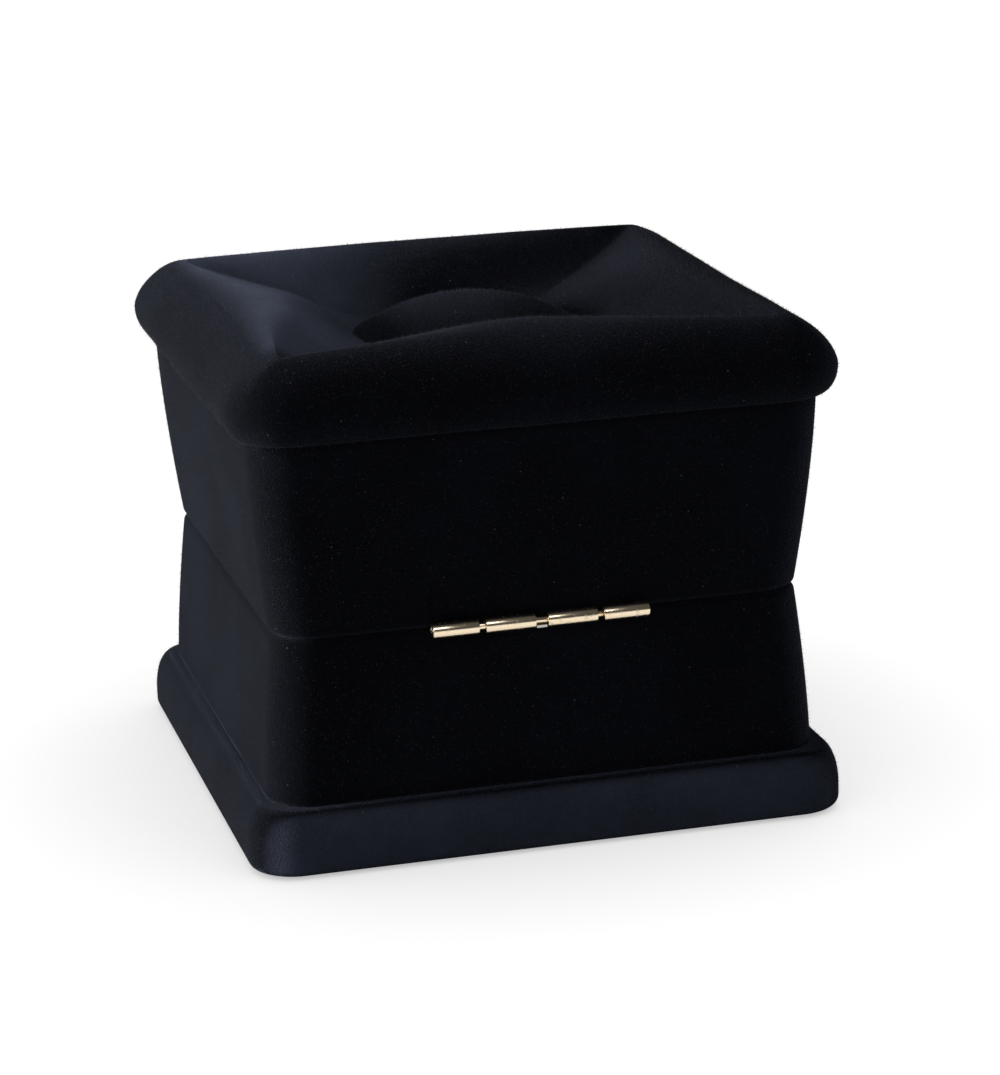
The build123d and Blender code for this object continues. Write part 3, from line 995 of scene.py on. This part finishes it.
class RINGBOX_OT_lid_cover(bpy.types.Operator):
    """Wraps the lid's walls in velvet"""

    bl_idname = "ringbox.lid_cover"
    bl_label = "Lid Cover"

    def execute(self, context):
        cover = wall_cover("lid_cover", LID_HIGH.z, LID_HIGH.x, sizes().lid_curve)
        settle(cover, "lid", "navy_velvet", "velvet", "lid_wrap")
        return {"FINISHED"}


class RINGBOX_OT_base_cover(bpy.types.Operator):
    """Wraps the base's walls in velvet"""

    bl_idname = "ringbox.base_cover"
    bl_label = "Base Cover"

    def execute(self, context):
        cover = wall_cover("base_cover", BASE_LOW.z, BASE_HIGH.x, sizes().base_curve)
        settle(cover, "base", "navy_velvet", "velvet", "base_wrap")
        return {"FINISHED"}


class RINGBOX_OT_plinth(bpy.types.Operator):
    """Wraps the plinth in velvet"""

    bl_idname = "ringbox.plinth"
    bl_label = "Plinth Cover"

    def execute(self, context):
        settle(plinth_cover("plinth_cover"), "base", "plinth_velvet", "velvet", "plinth_wrap")
        return {"FINISHED"}


class RINGBOX_OT_top(bpy.types.Operator):
    """Pads the lid's top: the puffed frame, its well and the dome"""

    bl_idname = "ringbox.top"
    bl_label = "Padded Top"

    def execute(self, context):
        cushion = top_cushion("top_cushion")
        over_rim = PAD_LOW.z + sizes().rim_edge_height + 0.5 * MM
        relax(cushion, rounds=3, share=0.5, chosen=lambda p: p.z > over_rim)
        wobble(cushion, reach=0.05 * MM, scale=140, seed=3.1)
        settle(cushion, "lid", "top_velvet", "velvet", "top_pad")
        dome = dome_button("dome_button")
        settle(dome, "lid", "top_velvet", "velvet", "top_dome")
        return {"FINISHED"}


class RINGBOX_OT_pile(bpy.types.Operator):
    """Grows short fibres on the velvet of each body"""

    bl_idname = "ringbox.pile"
    bl_label = "Velvet Pile"

    def execute(self, context):
        size = sizes()
        tree = pile_tree()
        for body, covers, seed in (
            ("lid", ("lid_cover", "top_cushion", "dome_button"), LID_PILE_SEED),
            ("base", ("base_cover", "plinth_cover"), BASE_PILE_SEED),
        ):
            fibres = grown(body + "_pile", tree, {
                "Density": size.pile_density * 1e6,
                "Fibre Length": size.pile_length,
                "Fibre Radius": size.pile_length * 0.04,
                "Parting Height": PARTING,
                "Seed": seed,
                "Material": finish("pile_fibre"),
            }, joined(covers))
            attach(fibres, body)
        return {"FINISHED"}


def joined(names):
    """One mesh from the meshes of those objects."""
    shape = bmesh.new()
    for name in names:
        shape.from_mesh(bpy.data.objects[name].data)
    mesh = bpy.data.meshes.new("joined")
    shape.to_mesh(mesh)
    shape.free()
    return mesh


class RINGBOX_OT_inside(bpy.types.Operator):
    """Makes the ring cushions and the lid's satin pad"""

    bl_idname = "ringbox.inside"
    bl_label = "Inside Pads"

    def execute(self, context):
        for name in ("ring_cushion_front", "ring_cushion_back"):
            low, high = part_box(name)
            roll = rounded_pad(name + "_soft", low, high, corner=1.6 * MM, edge=5 * MM, side_share=0.52)
            swell(roll, low, high)
            settle(roll, "base", "ivory_velvet", "cushion_velvet", name)
        foam = rounded_pad(
            "foam_block", FOAM_LOW, FOAM_HIGH, corner=1.2 * MM, edge=0.7 * MM, side_share=0.78
        )
        settle(foam, "base", "pale_foam", "foam", "foam_riser")
        low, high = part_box("lid_puff")
        puff = rounded_pad("lid_puff_soft", low, high, corner=2 * MM, edge=9 * MM, side_share=0.24)
        puff.data.transform(Matrix.Translation((0, 0, low.z + high.z)) @ Matrix.Diagonal((1, 1, -1, 1)))
        puff.data.flip_normals()
        swell(puff, low, high)
        settle(puff, "lid", "ivory_satin", "satin", "lid_puff")
        return {"FINISHED"}


class RINGBOX_OT_hinge(bpy.types.Operator):
    """Makes the brass leaves and the pin"""

    bl_idname = "ringbox.hinge"
    bl_label = "Hinge"

    def execute(self, context):
        for body in ("lid", "base"):
            node = body + "_hinge_leaf"
            settle(hinge_leaf(body + "_leaf", node), body, "pale_brass", "hinge_brass", node)
        settle(brass_pin("pin"), "base", "pale_brass", "pin_brass", "hinge_pin")
        return {"FINISHED"}


class RINGBOX_OT_finishes(bpy.types.Operator):
    """Gives the frame's own pieces their finishes"""

    bl_idname = "ringbox.finishes"
    bl_label = "Finishes"

    def execute(self, context):
        worn = {
            "moulded_shell": ("lid_core", "base_core", "plinth_core"),
            "grey_card": ("top_board", "puff_board", "insert_tray"),
            "ivory_satin": ("lid_lining", "base_lining"),
            "black_felt": ("bottom_felt",),
            "pale_brass": ("lid_leaf_rivets", "base_leaf_rivets"),
            "spring_steel": ("snap_spring",),
        }
        for material, nodes in worn.items():
            for node in nodes:
                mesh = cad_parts[node].data
                mesh.materials.clear()
                mesh.materials.append(finish(material))
        return {"FINISHED"}


class RINGBOX_OT_stage(bpy.types.Operator):
    """Sets the floor, the lamps, the room's light and the camera"""

    bl_idname = "ringbox.stage"
    bl_label = "Stage"

    def execute(self, context):
        stage = context.scene.ring_box_stage
        make_floor(stage.floor, stage.halo)
        make_room(stage.room)
        for name, (place, width) in LAMPS.items():
            area_lamp(name + "_lamp", place, width, getattr(stage, name))
        make_camera()
        context.scene.view_settings.view_transform = "Standard"
        return {"FINISHED"}


def make_floor(glow, halo):
    """A white floor that darkens softly where the box keeps light from it."""
    shape = bmesh.new()
    bmesh.ops.create_grid(shape, x_segments=1, y_segments=1, size=FLOOR_HALF)
    floor = as_object("floor", shape)
    shader = Shader("floor_white")
    lit = shader.node("ShaderNodeBsdfDiffuse", {"Color": (SEEN_BOUNCE,) * 3})
    open_sky = shader.node("ShaderNodeAmbientOcclusion", {"Distance": halo}, "AO", samples=16)
    strength = glow + (FLOOR_WHITE - glow) * open_sky
    own = shader.node("ShaderNodeEmission", {"Strength": strength})
    seen = shader.node("ShaderNodeAddShader", {0: lit, 1: own})
    plain = shader.node("ShaderNodeBsdfDiffuse", {"Color": (ROOM_BOUNCE,) * 3})
    straight = shader.node("ShaderNodeLightPath", output="Is Camera Ray")
    mirrored = shader.node("ShaderNodeLightPath", output="Is Glossy Ray")
    both = shader.node("ShaderNodeMixShader", {0: straight + mirrored, 1: plain, 2: seen})
    shader.node("ShaderNodeOutputMaterial", {"Surface": both})
    floor.data.materials.append(shader.material)


def make_room(strength):
    """Even light from all sides, before a backdrop that the camera sees white."""
    world = bpy.data.worlds.new("studio")
    bpy.context.scene.world = world
    world.use_nodes = True
    world.node_tree.nodes.clear()
    net = Net(world.node_tree)
    seen = net.node("ShaderNodeLightPath", output="Is Camera Ray")
    light = net.node("ShaderNodeBackground", {"Strength": strength + (1 - strength) * seen})
    net.node("ShaderNodeOutputWorld", {"Surface": light})


def area_lamp(name, place, width, power):
    """A square soft lamp that faces the middle of the box."""
    data = bpy.data.lights.new(name, "AREA")
    data.size = width
    data.energy = power
    lamp = linked(name, data)
    target = Vector((0, 0, PARTING))
    lamp.location = place
    lamp.rotation_euler = (target - Vector(place)).to_track_quat("-Z", "Y").to_euler()


def make_camera():
    """The photograph's camera: behind the box, a little above it, and to the left as seen from there."""
    yaw, pitch, roll = (math.radians(v) for v in (CAMERA_YAW, CAMERA_PITCH, CAMERA_ROLL))
    level = math.cos(pitch)
    forward = Vector((-math.sin(yaw) * level, -math.cos(yaw) * level, -math.sin(pitch)))
    across = forward.cross(UP).normalized()
    upward = across.cross(forward)
    right = math.cos(roll) * across + math.sin(roll) * upward
    up = -math.sin(roll) * across + math.cos(roll) * upward
    data = bpy.data.cameras.new("camera")
    data.lens = CAMERA_LENS
    data.sensor_width = SENSOR_WIDTH
    data.clip_start, data.clip_end = NEAREST, FARTHEST
    camera = linked("camera", data)
    turned = Matrix((right, up, -forward)).transposed().to_4x4()
    camera.matrix_world = Matrix.Translation(CAMERA_PLACE) @ turned
    bpy.context.scene.camera = camera


class RINGBOX_PT_panel(bpy.types.Panel):
    """Lists the steps that dress the ring box"""

    bl_idname = "RINGBOX_PT_panel"
    bl_label = "Ring Box"
    bl_space_type = "VIEW_3D"
    bl_region_type = "UI"
    bl_category = "Ring Box"

    def draw(self, context):
        for step in STEPS:
            self.layout.operator(step.bl_idname)
        for group in (getattr(context.scene, name) for name in GROUPS):
            box = self.layout.box()
            for name in group.__annotations__:
                box.prop(group, name)


GROUPS = {"ring_box_sizes": RingBoxSizes, "ring_box_colours": RingBoxColours, "ring_box_stage": RingBoxStage}
STEPS = (
    RINGBOX_OT_lid_cover,
    RINGBOX_OT_base_cover,
    RINGBOX_OT_plinth,
    RINGBOX_OT_top,
    RINGBOX_OT_pile,
    RINGBOX_OT_inside,
    RINGBOX_OT_hinge,
    RINGBOX_OT_finishes,
    RINGBOX_OT_stage,
)


def register():
    for kind in (*GROUPS.values(), *STEPS, RINGBOX_PT_panel):
        bpy.utils.register_class(kind)
    for name, kind in GROUPS.items():
        setattr(bpy.types.Scene, name, bpy.props.PointerProperty(type=kind))


def unregister():
    for name in GROUPS:
        delattr(bpy.types.Scene, name)
    for kind in reversed((*GROUPS.values(), *STEPS, RINGBOX_PT_panel)):
        bpy.utils.unregister_class(kind)


def main():
    """Runs every step in order."""
    register()
    bpy.ops.ringbox.lid_cover()
    bpy.ops.ringbox.base_cover()
    bpy.ops.ringbox.plinth()
    bpy.ops.ringbox.top()
    bpy.ops.ringbox.pile()
    bpy.ops.ringbox.inside()
    bpy.ops.ringbox.hinge()
    bpy.ops.ringbox.finishes()
    bpy.ops.ringbox.stage()


if __name__ == "__main__":
    main()
